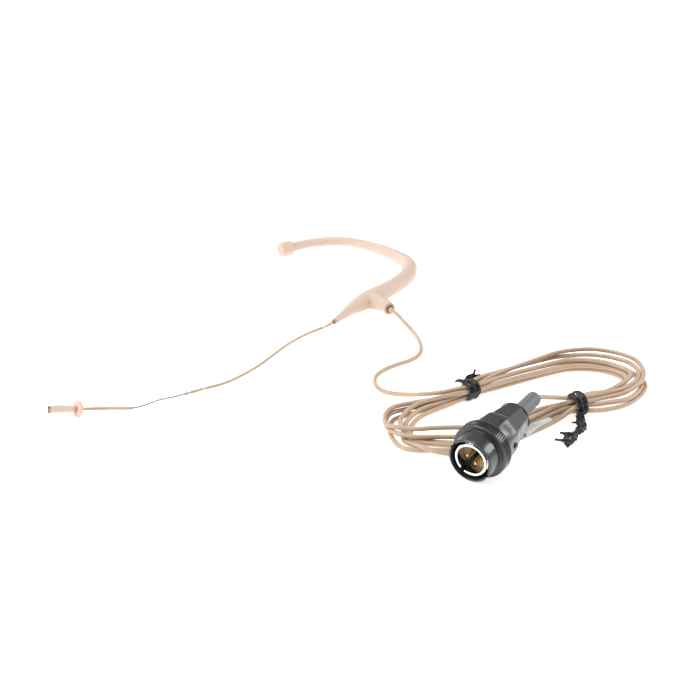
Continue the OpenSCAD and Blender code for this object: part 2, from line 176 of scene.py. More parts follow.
# How far outside the middle line each turn runs, and how high, at each point of the far half
FAR_TURNS = [
    ([-0.8, -1.6, -2.2, -2.2, -3.6, -3.2, -0.6, -0.4, 0.2, 0],
     [4.5, 4.2, 4.4, 4.6, 4.8, 4.6, 4.4, 4.4, 3.9, 3.2]),
    ([0.8, 1.7, 3.4, 3.4, 3.1, 3.0, 1.9, 1.3, 0.7, 0.7],
     [4.5, 3.8, 3.0, 3.2, 3.6, 3.8, 3.8, 3.9, 4.4, 4.5]),
    ([1.5, 0.2, 1.6, 3.6, 4.7, 4.7, 3.2, 2.7, 1.4, 1.5],
     [3.2, 4.9, 4.8, 4.9, 5.0, 4.9, 4.2, 3.6, 3.4, 3.2]),
    ([0, 1.8, 2.0, 1.6, 1.0, 0.9, 3.0, 5.0, 3.0, 1.0],
     [3.2, 2.2, 1.6, 1.8, 2.2, 2.0, 1.9, 2.2, 2.2, 1.9]),
    ([-1.5, -3.0, -3.8, -3.8, -4.4, -3.6, -2.0, -0.9, -1.0, -0.8],
     [3.2, 3.0, 3.0, 3.0, 3.1, 3.0, 2.9, 2.6, 2.2, 1.9]),
    ([0.8, 0.2, -0.4, 0, 0.4, 1.6, 4.2, 5.4, 5.0, 2.0],
     [1.9, 0.8, 0.8, 0.8, 0.8, 0.8, 0.8, 0.8, 0.8, 0.9]),
    ([-0.8, -2.6, -2.6, -2.4, -3.2, -3.2, -2.8, -2.4, -2.2, -0.8],
     [1.9, 1.4, 1.2, 1.2, 1.2, 1.2, 1.0, 1.8, 3.4, 4.6]),
]
# The same for the near half, which ends in tie 1 again
NEAR_TURNS = [
    ([-3.0, -2.4, -3.0, -2.4, 0.5, 4.2, 3.8, 2.5, 0.4],
     [3.0, 3.4, 3.8, 4.4, 4.5, 4.5, 4.5, 3.6, 2.8]),
    ([-1.4, -1.0, -0.2, -0.4, 2.3, 3.7, 3.6, 2.2, 1.2],
     [2.6, 2.4, 2.3, 2.3, 2.6, 2.8, 2.8, 2.2, 2.2]),
    ([2.6, 3.3, 7.4, 7.0, 3.4, -2.6, -2.4, -0.6, -1.2],
     [0.8, 0.8, 0.8, 0.8, 0.9, 1.4, 2.2, 2.6, 2.8]),
    ([-0.2, 0.2, 2.7, 1.6, 1.9, -0.8, -0.3, 1.0, -0.8],
     [0.8, 0.8, 0.8, 0.9, 1.2, 1.8, 2.6, 3.6, 3.9]),
    ([1.0, 1.6, 5.4, 4.9, 6.2, 2.8, 2.4, 0.9, 0.2],
     [0.8, 0.8, 0.8, 0.8, 0.8, 0.8, 0.8, 0.8, 1.2]),
    ([-2.0, -1.2, 1.2, 0.6, -0.6, -4.2, -4.0, -2.0, -2.0],
     [0.8, 0.8, 0.8, 0.8, 0.8, 0.8, 0.9, 1.2, 1.8]),
]


def outward(line):
    """The level unit direction away from the hank's inside, at each point of the closed middle line."""
    p = np.array(line, float)
    t = np.roll(p, -1, axis=0) - np.roll(p, 1, axis=0)
    t /= np.linalg.norm(t, axis=1)[:, None]
    return np.column_stack([-t[:, 1], t[:, 0]])


def hank_points():
    """Points of all the turns in order: each pass runs the far half, and all but the last the near half."""
    middle = np.array(FAR_HALF + NEAR_HALF)
    out = outward(middle)
    far = len(FAR_HALF)
    rows = []
    for k, (offsets, heights) in enumerate(FAR_TURNS):
        rows.append(np.column_stack([middle[:far] + out[:far] * np.array(offsets)[:, None], heights]))
        if k < len(NEAR_TURNS):
            offsets, heights = NEAR_TURNS[k]
            rows.append(np.column_stack([middle[far:] + out[far:] * np.array(offsets)[:, None], heights]))
    return np.vstack(rows)


# The plug's body, which the cable lies clear of: from, to, and the radius at each, along its axis
PLUG_KEEP_OUT = [(-2, 9.6, 8.5, 8.5), (9.6, 17.2, 7.5, 6.9), (17.2, 28.6, 6.6, 5.2), (28.6, 38, 2.6, 2.5)]
STEP = 1.0
ROUNDS = 240        # rounds of pushing the strands apart
RENEW = 10          # rounds after which the list of near strands is made again
HELD_END = 12       # stretch at each end over which the cable comes free of its fixed route
NEAR = 2.2          # strands closer than this many diameters are watched
APART = 6           # points of one strand closer than this, in steps, don't push each other
PUSH = 0.45         # how much of an overlap each strand gives way by in a round
SAG = 0.002         # how far each round lets the strands down
MEMORY = 0.995      # how much of its shift a strand keeps, against its own springiness


def push_from_plug(p, plug):
    """Moves points out of the plug's body."""
    local = (p - plug["origin"]) @ plug["axes"].T
    radial = np.linalg.norm(local[:, :2], axis=1)
    need = np.zeros(len(p))
    for start, end, r_start, r_end in PLUG_KEEP_OUT:
        inside = (local[:, 2] > start) & (local[:, 2] < end)
        share = (local[:, 2] - start) / (end - start)
        need = np.where(inside, r_start + (r_end - r_start) * share + CABLE_D / 2, need)
    hit = (radial < need) & (radial > TINY)
    grow = np.where(hit, need / np.maximum(radial, TINY), 1)
    local[:, :2] *= grow[:, None]
    return local @ plug["axes"] + plug["origin"]


def settle(route):
    """Lets the strands push each other apart and down on to the table, and keeps their layout."""
    p0 = resample(route, STEP)
    shift = np.zeros_like(p0)
    matrix = np.array(at_plug)
    plug = {"origin": matrix[:3, 3] / MM, "axes": matrix[:3, :3].T}
    run = np.arange(len(p0)) * STEP
    hold_start = np.clip(run / HELD_END, 0, 1)
    hold_end = np.clip((run[-1] - run) / HELD_END, 0, 1)
    free = np.minimum(hold_start, hold_end)[:, None]
    for k in range(ROUNDS):
        p = p0 + shift
        if k % RENEW == 0:
            gap = np.linalg.norm(p[:, None] - p[None], axis=2)
            i, j = np.nonzero(np.triu(gap < NEAR * CABLE_D, APART))
        d = p[j] - p[i]
        dist = np.maximum(np.linalg.norm(d, axis=1), TINY)
        push = np.clip(CABLE_D * 1.01 - dist, 0, None) / dist * PUSH
        move = np.zeros_like(p)
        count = np.zeros(len(p0))
        np.add.at(move, i, -d * push[:, None])
        np.add.at(move, j, d * push[:, None])
        np.add.at(count, i, push > 0)
        np.add.at(count, j, push > 0)
        move /= np.maximum(1, 0.7 * count)[:, None]
        move[:, 2] -= SAG
        shift = (shift + move * free) * MEMORY
        for _ in range(2):
            eased = shift.copy()
            eased[1:-1] = 0.25 * shift[:-2] + 0.5 * shift[1:-1] + 0.25 * shift[2:]
            shift = eased
        p = p0 + shift * free
        p = push_from_plug(p, plug) * free + p * (1 - free)
        p[:, 2] = np.maximum(p[:, 2], CABLE_D / 2)
        shift = p - p0
    return p0 + shift


cord_path = settle(smooth(np.vstack([LEAD_LINE, hank_points(), TAIL_LINE]), 10))


# ---------- materials ----------
def node_material(name, colour, roughness, metallic=0.0, **sockets):
    """A principled material with its own socket values, and its shader to link detail to."""
    m = bpy.data.materials.new(name)
    m.use_nodes = True
    shader = m.node_tree.nodes["Principled BSDF"]
    shader.inputs["Base Color"].default_value = (*colour, 1)
    shader.inputs["Roughness"].default_value = roughness
    shader.inputs["Metallic"].default_value = metallic
    for socket, value in sockets.items():
        shader.inputs[socket.replace("_", " ")].default_value = value
    return m, shader


def coordinates(m, stretch=(1, 1, 1), turn=(0, 0, 0)):
    """The object's coordinates in millimetres, stretched or turned to run a texture along a direction."""
    tree = m.node_tree
    source = tree.nodes.new("ShaderNodeTexCoord")
    mapping = tree.nodes.new("ShaderNodeMapping")
    mapping.vector_type = "TEXTURE"
    mapping.inputs["Scale"].default_value = tuple(MM * s for s in stretch)
    mapping.inputs["Rotation"].default_value = turn
    tree.links.new(source.outputs["Object"], mapping.inputs["Vector"])
    return mapping.outputs["Vector"]


def noise(m, vector, scale, detail=3.0, roughness=0.55):
    """Fractal noise with this many cells to the millimetre."""
    node = m.node_tree.nodes.new("ShaderNodeTexNoise")
    node.inputs["Scale"].default_value = scale
    node.inputs["Detail"].default_value = detail
    node.inputs["Roughness"].default_value = roughness
    m.node_tree.links.new(vector, node.inputs["Vector"])
    return node.outputs["Fac"]


def spread(m, value, low, high, to_low, to_high):
    """The value, moved from one range to another and held inside it."""
    node = m.node_tree.nodes.new("ShaderNodeMapRange")
    for name, number in zip(("From Min", "From Max", "To Min", "To Max"), (low, high, to_low, to_high)):
        node.inputs[name].default_value = number
    m.node_tree.links.new(value, node.inputs["Value"])
    return node.outputs["Result"]


def tint(m, value, dark, light):
    """A colour between two, by the value."""
    node = m.node_tree.nodes.new("ShaderNodeValToRGB")
    node.color_ramp.elements[0].color = (*dark, 1)
    node.color_ramp.elements[1].color = (*light, 1)
    node.color_ramp.elements[0].position = 0.25
    node.color_ramp.elements[1].position = 0.75
    m.node_tree.links.new(value, node.inputs["Fac"])
    return node.outputs["Color"]


def bump(m, shader, height, strength, distance):
    """Relief on the shader, its depth in millimetres."""
    node = m.node_tree.nodes.new("ShaderNodeBump")
    node.inputs["Strength"].default_value = strength
    node.inputs["Distance"].default_value = distance * MM
    m.node_tree.links.new(height, node.inputs["Height"])
    previous = shader.inputs["Normal"].links
    if previous:
        m.node_tree.links.new(previous[0].from_socket, node.inputs["Normal"])
    m.node_tree.links.new(node.outputs["Normal"], shader.inputs["Normal"])


def shade(colour, factor):
    """The colour, darker or lighter by a factor."""
    return tuple(c * factor for c in colour)


def moulded(name, colour, roughness, grain=3.0, depth=0.03, mottling=0.06, **sockets):
    """Moulded plastic or rubber: soft mottling, a fine grain and a surface that shines unevenly."""
    m, shader = node_material(name, colour, roughness, **sockets)
    vector = coordinates(m)
    patches = noise(m, vector, 0.35, 4)
    grains = noise(m, vector, grain, 3)
    link = m.node_tree.links.new
    mottled = tint(m, patches, shade(colour, 1 - mottling), shade(colour, 1 + mottling))
    link(mottled, shader.inputs["Base Color"])
    link(spread(m, grains, 0.3, 0.7, roughness * 0.85, min(1, roughness * 1.15)), shader.inputs["Roughness"])
    bump(m, shader, grains, 0.5, depth)
    bump(m, shader, patches, 0.25, depth * 2)
    return m


def drawn_metal(name, colour, roughness, direction=None):
    """Metal with fine scratches, drawn along a direction when one is given."""
    m, shader = node_material(name, colour, roughness, 1.0)
    stretch = (1, 1, 1)
    turn = (0, 0, 0)
    if direction is not None:
        stretch = (12, 1, 1)
        turn = (0, 0, math.atan2(direction[1], direction[0]))
    scratches = noise(m, coordinates(m, stretch, turn), 6, 4, 0.65)
    stains = noise(m, coordinates(m), 0.6, 3)
    link = m.node_tree.links.new
    link(tint(m, stains, shade(colour, 0.86), shade(colour, 1.05)), shader.inputs["Base Color"])
    link(spread(m, scratches, 0.3, 0.7, roughness * 0.7, min(1, roughness * 1.5)), shader.inputs["Roughness"])
    bump(m, shader, scratches, 0.3, 0.01)
    return m


def coated(name, colour, roughness, worn):
    """Black finish on metal or plastic, hazy, and a little paler in patches where hands rub."""
    m, shader = node_material(name, colour, roughness, Coat_Weight=0.6, Coat_Roughness=0.14)
    vector = coordinates(m)
    haze = noise(m, vector, 0.5, 4)
    orange_peel = noise(m, vector, 5, 2)
    link = m.node_tree.links.new
    rubbed = spread(m, noise(m, vector, 1.1, 5, 0.7), 0.62, 0.8, 0, 1)
    mix = m.node_tree.nodes.new("ShaderNodeMixRGB")
    mix.inputs["Color2"].default_value = (*worn, 1)
    link(rubbed, mix.inputs["Fac"])
    link(tint(m, haze, shade(colour, 0.8), shade(colour, 1.25)), mix.inputs["Color1"])
    link(mix.outputs["Color"], shader.inputs["Base Color"])
    link(spread(m, haze, 0.3, 0.7, roughness * 0.8, min(1, roughness * 1.25)), shader.inputs["Roughness"])
    bump(m, shader, orange_peel, 0.4, 0.015)
    return m


def woven_mesh(name, colour):
    """A fine wire cloth: two crossing sets of rounded wires."""
    m, shader = node_material(name, colour, 0.35, 1.0)
    tree = m.node_tree
    waves = []
    for turn in ((0, 0, 0.6), (0, 0, 0.6 + math.pi / 2)):
        wave = tree.nodes.new("ShaderNodeTexWave")
        wave.inputs["Scale"].default_value = 1.6
        tree.links.new(coordinates(m, (1, 1, 1), turn), wave.inputs["Vector"])
        waves.append(wave.outputs["Fac"])
    product = tree.nodes.new("ShaderNodeMath")
    product.operation = "MULTIPLY"
    tree.links.new(waves[0], product.inputs[0])
    tree.links.new(waves[1], product.inputs[1])
    woven = tint(m, product.outputs[0], shade(colour, 1.4), shade(colour, 0.25))
    tree.links.new(woven, shader.inputs["Base Color"])
    bump(m, shader, product.outputs[0], 0.8, 0.05)
    return m


def clear_film(name, colour):
    """Translucent shrink film, cloudy and creased."""
    m, shader = node_material(name, colour, 0.3, Transmission_Weight=0.2, IOR=1.45, Alpha=0.93)
    vector = coordinates(m)
    cloud = noise(m, vector, 1.2, 4)
    link = m.node_tree.links.new
    link(tint(m, cloud, shade(colour, 0.86), colour), shader.inputs["Base Color"])
    link(spread(m, cloud, 0.3, 0.7, 0.2, 0.5), shader.inputs["Roughness"])
    bump(m, shader, noise(m, vector, 2.5, 2), 0.4, 0.05)
    return m


SKIN = (0.59, 0.455, 0.37)
TAN = (0.485, 0.353, 0.246)
# Moulded materials: colour, roughness, grain, depth of the grain, mottling
MOULDED = {
    "hook_skin": (SKIN, 0.5, 4, 0.012, 0.03),
    "tip_plastic": (SKIN, 0.42, 5, 0.01, 0.03),
    "ferrule": ((0.44, 0.32, 0.23), 0.45, 6, 0.01),
    "lead_red": ((0.35, 0.02, 0.015), 0.45, 5, 0.01),
    "white_insulator": ((0.8, 0.8, 0.76), 0.4, 4, 0.01),
    "boom_coating": ((0.47, 0.35, 0.235), 0.45, 5, 0.03, 0.12),
    "capsule_skin": ((0.63, 0.49, 0.40), 0.42, 7, 0.012, 0.07),
    "ring_pink": ((0.72, 0.51, 0.41), 0.5, 4, 0.012, 0.03),
    "rubber_dark": ((0.03, 0.03, 0.03), 0.6),
    "board_green": ((0.01, 0.10, 0.04), 0.3, 4, 0.02, 0.3),
    "black_plastic": ((0.003, 0.003, 0.0035), 0.6, 5, 0.015, 0.2),
    "cable_tan": (TAN, 0.36, 3, 0.02, 0.07),
    "tie_black": ((0.008, 0.008, 0.009), 0.33, 2.5, 0.06, 0.2),
    "insert_brown": ((0.34, 0.235, 0.10), 0.45, 7, 0.03, 0.3),
    "boot_grey": ((0.15, 0.15, 0.155), 0.5, 5, 0.02, 0.08),
}
SOCKETS = {
    "hook_skin": {"Subsurface_Weight": 0.12, "Subsurface_Scale": 0.002},
    "tip_plastic": {"Subsurface_Weight": 0.1, "Subsurface_Scale": 0.002},
    "ring_pink": {"Subsurface_Weight": 0.25, "Subsurface_Scale": 0.0012},
    "black_plastic": {"Specular_IOR_Level": 0.15},
}
material = {name: moulded(name, *values, **SOCKETS.get(name, {})) for name, values in MOULDED.items()}
material["steel_wire"] = drawn_metal("steel_wire", (0.30, 0.30, 0.32), 0.42, (1, 0.8))
material["gold_contact"] = drawn_metal("gold_contact", (0.93, 0.62, 0.22), 0.22)
material["silver_metal"] = drawn_metal("silver_metal", (0.90, 0.90, 0.89), 0.16)
material["mesh_grey"] = woven_mesh("mesh_grey", (0.30, 0.30, 0.31))
material["clear_sleeve"] = clear_film("clear_sleeve", (0.93, 0.93, 0.88))
material["plug_black"] = coated("plug_black", (0.017, 0.0175, 0.019), 0.42, (0.035, 0.035, 0.037))


# ---------- meshes ----------
SHARP = math.radians(38)
WELD = 1e-7
CORNER_STEPS = 3


def piece(name, verts, faces, body, slot_name, replaces=(), matrix=None):
    """A mesh in millimetres, in its own place, shaded smooth but for its sharp edges."""
    mesh = bpy.data.meshes.new(name)
    mesh.from_pydata([Vector(v) * MM for v in verts], [], faces)
    if matrix is not None:
        mesh.transform(matrix)
    return finish_piece(name, mesh, body, slot_name, replaces)


def finish_piece(name, mesh, body, slot_name, replaces=()):
    """The mesh, already in its place in the frame, as a piece on a body with its slot and material."""
    bm = bmesh.new()
    bm.from_mesh(mesh)
    bmesh.ops.remove_doubles(bm, verts=bm.verts, dist=WELD)
    bmesh.ops.recalc_face_normals(bm, faces=bm.faces)
    for edge in bm.edges:
        edge.smooth = not (edge.is_manifold and edge.calc_face_angle(0) > SHARP)
    for face in bm.faces:
        face.smooth = True
    bm.to_mesh(mesh)
    bm.free()
    mesh.materials.clear()
    mesh.materials.append(material[slot_name])
    obj = bpy.data.objects.new(name, mesh)
    scene.collection.objects.link(obj)
    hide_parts(*replaces)
    if body is not None:
        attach(obj, body)
    return obj


def grid_faces(rows, columns, wrap=False):
    """Quads between closed rows of points. wrap joins the last row to the first."""
    faces = []
    for i in range(rows if wrap else rows - 1):
        for k in range(columns):
            a, b = i * columns + k, i * columns + (k + 1) % columns
            c, d = (i + 1) % rows * columns + k, (i + 1) % rows * columns + (k + 1) % columns
            faces.append((a, b, d, c))
    return faces


def capped_faces(rows, columns):
    """The same for closed rows, with a flat face over the first row and one over the last."""
    faces = grid_faces(rows, columns)
    faces.append(tuple(range(columns))[::-1])
    faces.append(tuple((rows - 1) * columns + k for k in range(columns)))
    return faces


def round_angles(sides):
    """Evenly spaced angles, all the way round."""
    return 2 * np.pi * np.arange(sides) / sides


def rings(side, up, sides):
    """Unit directions all round each point of a path, from its two cross directions."""
    angle = round_angles(sides)
    return np.cos(angle)[None, :, None] * side[:, None] + np.sin(angle)[None, :, None] * up[:, None]


def sweep(path, radii, sides):
    """A closed tube along the path. radii is one number or one for each point."""
    _, side, up = along(path)
    r = np.broadcast_to(np.asarray(radii, float), (len(path),))
    verts = (path[:, None, :3] + r[:, None, None] * rings(side, up, sides)).reshape(-1, 3)
    return verts, capped_faces(len(path), sides)


def rounded(outline, radius):
    """The closed outline with each corner off the axis rounded."""
    p = [np.array(q, float) for q in outline]
    out = []
    for before, here, after in zip([p[-1], *p[:-1]], p, [*p[1:], p[0]]):
        a, b = before - here, after - here
        la, lb = np.linalg.norm(a), np.linalg.norm(b)
        cut = min(radius, 0.45 * la, 0.45 * lb)
        if here[0] < TINY or cut < 1e-4 or abs(np.cross(a / la, b / lb)) < 0.12:
            out.append(here)
            continue
        start, end = here + a / la * cut, here + b / lb * cut
        for t in np.linspace(0, 1, CORNER_STEPS + 1):
            out.append((1 - t) ** 2 * start + 2 * t * (1 - t) * here + t**2 * end)
    return np.array(out)


def turned(outline, sides, radius, shape=None):
    """A solid of revolution round +Z, from a closed outline of (radius, height).

    shape(angle, r, z) returns the radius and height that each point gets instead.
    """
    loop = rounded(outline, radius)
    a, r = np.meshgrid(round_angles(sides), loop[:, 0])
    z = np.repeat(loop[:, 1][:, None], sides, axis=1)
    if shape is not None:
        r, z = shape(a, r, z)
    verts = np.stack([r * np.cos(a), r * np.sin(a), z], axis=-1).reshape(-1, 3)
    return verts, grid_faces(len(loop), sides, wrap=True)


def box(low, high, turn):
    """A block between two corners, turned round +Z by some degrees."""
    spin = Matrix.Rotation(math.radians(turn), 4, "Z")
    corners = [(x, y, z) for x in (low[0], high[0]) for y in (low[1], high[1]) for z in (low[2], high[2])]
    verts = [spin @ Vector(c) for c in corners]
    return verts, [(0, 1, 3, 2), (4, 6, 7, 5), (0, 4, 5, 1), (2, 3, 7, 6), (0, 2, 6, 4), (1, 5, 7, 3)]


def scratch_object(verts, faces):
    """A helper object from verts in millimetres, which a later step uses up."""
    mesh = bpy.data.meshes.new("scratch")
    mesh.from_pydata([Vector(v) * MM for v in verts], [], faces)
    bm = bmesh.new()
    bm.from_mesh(mesh)
    bmesh.ops.remove_doubles(bm, verts=bm.verts, dist=WELD)
    bmesh.ops.recalc_face_normals(bm, faces=bm.faces)
    bm.to_mesh(mesh)
    bm.free()
    obj = bpy.data.objects.new("scratch", mesh)
    scene.collection.objects.link(obj)
    return obj


def evaluated_mesh(obj):
    """The object's mesh with its modifiers applied. The object is removed."""
    bpy.context.view_layer.update()
    graph = bpy.context.evaluated_depsgraph_get()
    mesh = bpy.data.meshes.new_from_object(obj.evaluated_get(graph))
    bpy.data.objects.remove(obj)
    return mesh


def combine(obj, tool, operation):
    """Adds a boolean of the tool to the object."""
    modifier = obj.modifiers.new(operation.lower(), "BOOLEAN")
    modifier.operation = operation
    modifier.solver = "MANIFOLD"
    modifier.object = tool


def cut(verts, faces, cutters, matrix, bevel=0.0):
    """The solid less its cutters, with its edges bevelled, carried to its place."""
    obj = scratch_object(verts, faces)
    tools = [scratch_object(*cutter) for cutter in cutters]
    for tool in tools:
        combine(obj, tool, "DIFFERENCE")
    if bevel:
        modifier = obj.modifiers.new("bevel", "BEVEL")
        modifier.width = bevel * MM
        modifier.segments = 2
        modifier.limit_method = "ANGLE"
        modifier.angle_limit = math.radians(40)
    mesh = evaluated_mesh(obj)
    for tool in tools:
        bpy.data.objects.remove(tool)
    mesh.transform(matrix)
    return mesh


def cylinder(radius, start, end, sides=48):
    """A straight cutter round +Z."""
    ring = [(radius * math.cos(a), radius * math.sin(a)) for a in round_angles(sides)]
    return [(x, y, z) for z in (start, end) for x, y in ring], capped_faces(2, sides)


def moved(shape, matrix):
    """The same verts and faces, carried by a matrix whose shift is in metres."""
    verts, faces = shape
    return [matrix @ (Vector(v) * MM) / MM for v in verts], faces


# ---------- ear hook ----------
# Middle lines as x, y, z and the radius there
HOOK_LINE = [
    (26.8, -6.8, 3.0, 1.2), (29.2, -2.7, 3.1, 1.55), (32.9, 3.8, 3.2, 2.3), (37, 9.8, 3.25, 3.15),
    (42.1, 16.2, 3.25, 3.25), (47.2, 22.2, 3.25, 3.1), (52.2, 29.6, 3.25, 3.1), (55.6, 37.3, 3.25, 3.15),
    (56.6, 44.8, 3.25, 3.1), (55, 51.3, 3.25, 2.9), (51.3, 57.8, 3.25, 2.55), (44.9, 65.5, 3.2, 2.2),
    (36, 72, 3.2, 2), (27.3, 74.7, 3.2, 2), (17, 73.1, 3.2, 2), (7.6, 67.5, 3.2, 2),
]
BRANCH_LINE = [
    (38.4, 11.4, 3.25, 3.1), (41.4, 11.5, 3.25, 3.15), (44.0, 9.2, 3.2, 2.9), (45.8, 6.5, 3.2, 2.6),
    (47.2, 4, 3.2, 2.4),
]
HOOK_STEPS = 8
HOOK_SIDES = 40
VOXEL = 0.3
EASE_ROUNDS = 14        # rounds of smoothing, which run the branch into the body
SOCKET_DEPTH = 6.3


def hook_skin():
    """The moulded skin: the hook's body and its branch run together, with the sockets bored out."""
    tubes = []
    for line in (HOOK_LINE, BRANCH_LINE):
        route = smooth(line, HOOK_STEPS)
        tubes.append(scratch_object(*sweep(route, route[:, 3], HOOK_SIDES)))
    body, branch = tubes
    combine(body, branch, "UNION")
    remesh = body.modifiers.new("remesh", "REMESH")
    remesh.mode = "VOXEL"
    remesh.voxel_size = VOXEL * MM
    ease = body.modifiers.new("ease", "SMOOTH")
    ease.factor = 0.5
    ease.iterations = EASE_ROUNDS
    bores = [
        moved(cylinder(1.66, -SOCKET_DEPTH - 0.2, 2), at_socket),
        moved(cylinder(2.03, -0.8, 2), at_socket),
        moved(cylinder(0.82, -2, 2), at_nose),
    ]
    tools = [scratch_object(*bore) for bore in bores]
    for tool in tools:
        combine(body, tool, "DIFFERENCE")
    mesh = evaluated_mesh(body)
    for tool in (branch, *tools):
        bpy.data.objects.remove(tool)
    finish_piece("hook_skin", mesh, "ear_hook_body", "hook_skin", ["ear_hook"])


def hook_tip():
    """The moulded end cap: a short barrel with soft edges and a dimple in its end."""
    outline = [
        (0, 0.05), (2.1, 0.05), (2.9, 0.2), (3.05, 0.8), (3.1, 2.6), (3.08, 4.6), (2.95, 5.5), (2.5, 5.95),
        (0.95, 6.0), (0.6, 5.6), (0, 5.5),
    ]
    piece("hook_tip", *turned(outline, 72, 0.5), "ear_hook_body", "tip_plastic", ["hook_tip_cap"], at_tip)


def hook_fittings():
    """The ferrule at the nose and the collar at the cable socket."""
    body = "ear_hook_body"
    lip = [(0.5, -1.9), (0.78, -1.9), (0.78, 0), (1.12, 0), (1.12, 0.45), (0.5, 0.45)]
    piece("nose_sleeve", *turned(lip, 48, 0.1), body, "ferrule", ["nose_ferrule"], at_nose)
    collar = [(1.35, -0.78), (2, -0.78), (2, 0), (2.15, 0.05), (2.15, 0.35), (1.35, 0.35)]
    piece("socket_collar", *turned(collar, 64, 0.12), body, "ferrule", ["branch_collar"], at_socket)


# ---------- boom ----------
BOOM_LINE = [
    (-53.6, -72.21, 3.71), (-51.8, -70.7, 2.9), (-49.99, -69.18, 2.09), (-48.54, -67.97, 1.43),
    (-45.5, -66.6, 0.8), (-42, -66.3, 0.7), (-36.1, -66.2, 0.7), (-33, -64.8, 0.7), (-30.5, -62.8, 0.7),
    (-27.8, -60.7, 0.7), (-24, -59, 0.7), (-21.1, -57.4, 0.75), (-19.4, -56.5, 0.8), (-18.6, -56, 0.8),
    (-15.6, -54.3, 0.9), (-14.4, -53.6, 0.9), (-8.6, -50.5, 1.1), (-3.8, -45.9, 1.3), (2.1, -38.4, 1.6),
    (10.5, -24, 2), (16, -17.3, 2.4), (19.7, -13.9, 2.6), (22.9, -11.4, 2.8), (23.8, -10.6, 2.85),
    (26.35, -7.45, 3),
]
WIRE_R = 0.27
COAT_R = 0.5
BOOM_STEPS = 6
COAT_SIDES = 24
COAT_STEP = 0.22
COAT_DRIFT = 25         # points over which the coating's swellings are spread
COAT_LEAST = 0.03       # what is left of its thickness at a chipped end
TAPER = 0.35            # stretch over which it thins to that
RAGGED = 1.2            # stretch over which its ends run ragged
# Coated stretches as (first point, last point, node): the rest of the wire is bare
COATINGS = [
    ("boom_coat_front", 0, 6, "boom_coating_front"),
    ("boom_coat_island", 11, 12, "boom_coating_islands"),
    ("boom_coat_short", 13, 14, None),
    ("boom_coat_rear", 15, 22, "boom_coating_rear"),
    ("boom_coat_nose", 23, 24, None),
]


def bending(name, verts, faces, slot_name, replaces=()):
    """A piece of the boom, on no body, with its place baked into its mesh."""
    obj = piece(name, verts, faces, None, slot_name, replaces)
    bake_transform(obj)


def coating(path, seed):
    """Coating over the wire, with ragged chipped ends and slight swellings."""
    rng = np.random.default_rng(seed)
    fine = resample(path, COAT_STEP)
    run = lengths(fine)
    tangent, side, up = along(fine)
    angle = round_angles(COAT_SIDES)
    window = np.hanning(COAT_DRIFT) / np.hanning(COAT_DRIFT).sum()
    drift = np.convolve(rng.normal(0, 1, len(fine) + COAT_DRIFT - 1), window, "valid")
    radius = COAT_R * (1 + 0.05 * drift)
    taper = np.clip(np.minimum(run, run[-1] - run) / TAPER, 0.0, 1) ** 0.5
    radius = WIRE_R + COAT_LEAST + (radius - WIRE_R - COAT_LEAST) * taper
    ragged = 0.35 * (np.sin(angle * 2 + rng.uniform(0, 6)) + 0.5 * np.sin(angle * 5 + rng.uniform(0, 6)))
    near_start = np.clip(1 - run / RAGGED, 0, 1)
    near_end = np.clip(1 - (run[-1] - run) / RAGGED, 0, 1)
    slide = (near_start - near_end)[:, None] * ragged[None]
    ring = rings(side, up, COAT_SIDES)
    verts = fine[:, None, :3] + radius[:, None, None] * ring + slide[:, :, None] * tangent[:, None]
    return verts.reshape(-1, 3), capped_faces(len(fine), COAT_SIDES)


def boom():
    """The boom's wire, and what is left of its coating."""
    line = smooth(BOOM_LINE, BOOM_STEPS)
    bending("boom_steel", *sweep(line, WIRE_R, 16), "steel_wire", ["boom_wire"])
    for seed, (name, first, last, node) in enumerate(COATINGS):
        stretch = line[first * BOOM_STEPS:last * BOOM_STEPS + 1]
        bending(name, *coating(stretch, seed), "boom_coating", [node] if node else [])


# ---------- capsule ----------
def capsule():
    """The capsule's tube with its small neck, the press-fit cap, and the cap's front ring and screen."""
    body = [
        (0.5, 0.7), (0.66, 0.8), (0.7, 1.5), (0.95, 1.75), (1.08, 2.0), (1.12, 3.9), (1.14, 4.2), (1.14, 8.9),
        (0.9, 8.9), (0.9, 2.8), (0.62, 2.6), (0.6, 1.2),
    ]
    nodes = ["capsule_body", "capsule_neck"]
    piece("capsule_tube", *turned(body, 64, 0.06), "boom_body", "capsule_skin", nodes, at_capsule)
    cap = [
        (1.17, 4.5), (1.24, 4.5), (1.33, 4.75), (1.35, 6.3), (1.32, 6.5), (1.34, 6.7), (1.3, 9.3),
        (1.22, 9.6), (1.1, 9.64), (1.06, 9.5), (1.06, 9.25), (1.17, 9.25),
    ]
    piece("capsule_cap", *turned(cap, 64, 0.06), "cap_body", "capsule_skin", ["protective_cap"], at_capsule)
    rim = [(0.82, 9.3), (1.05, 9.3), (1.06, 9.6), (0.98, 9.66), (0.88, 9.62)]
    piece("cap_front_ring", *turned(rim, 64, 0.05), "cap_body", "black_plastic", ["cap_ring"], at_capsule)
    dome = [(0, 9.3), (0.86, 9.3), (0.86, 9.48), (0.6, 9.58), (0.3, 9.62), (0, 9.63)]
    piece("cap_screen", *turned(dome, 64, 0.05), "cap_body", "mesh_grey", ["cap_mesh"], at_capsule)


def moisture_ring():
    """A soft washer with a rounded rim, and a cone in the face towards the capsule."""
    t = 0.75
    arc = [(2.05 + t * math.sin(a), -t * math.cos(a)) for a in np.linspace(0, math.pi, 13)]
    outline = [(0.53, -t * 0.9), (1.2, -t), *arc, (1.25, t * 0.96), (1.05, t * 0.9), (0.53, 0)]
    verts, faces = turned(outline, 96, 0.08)
    piece("moisture_stop", verts, faces, "moisture_ring_body", "ring_pink", ["moisture_ring"], at_capsule)


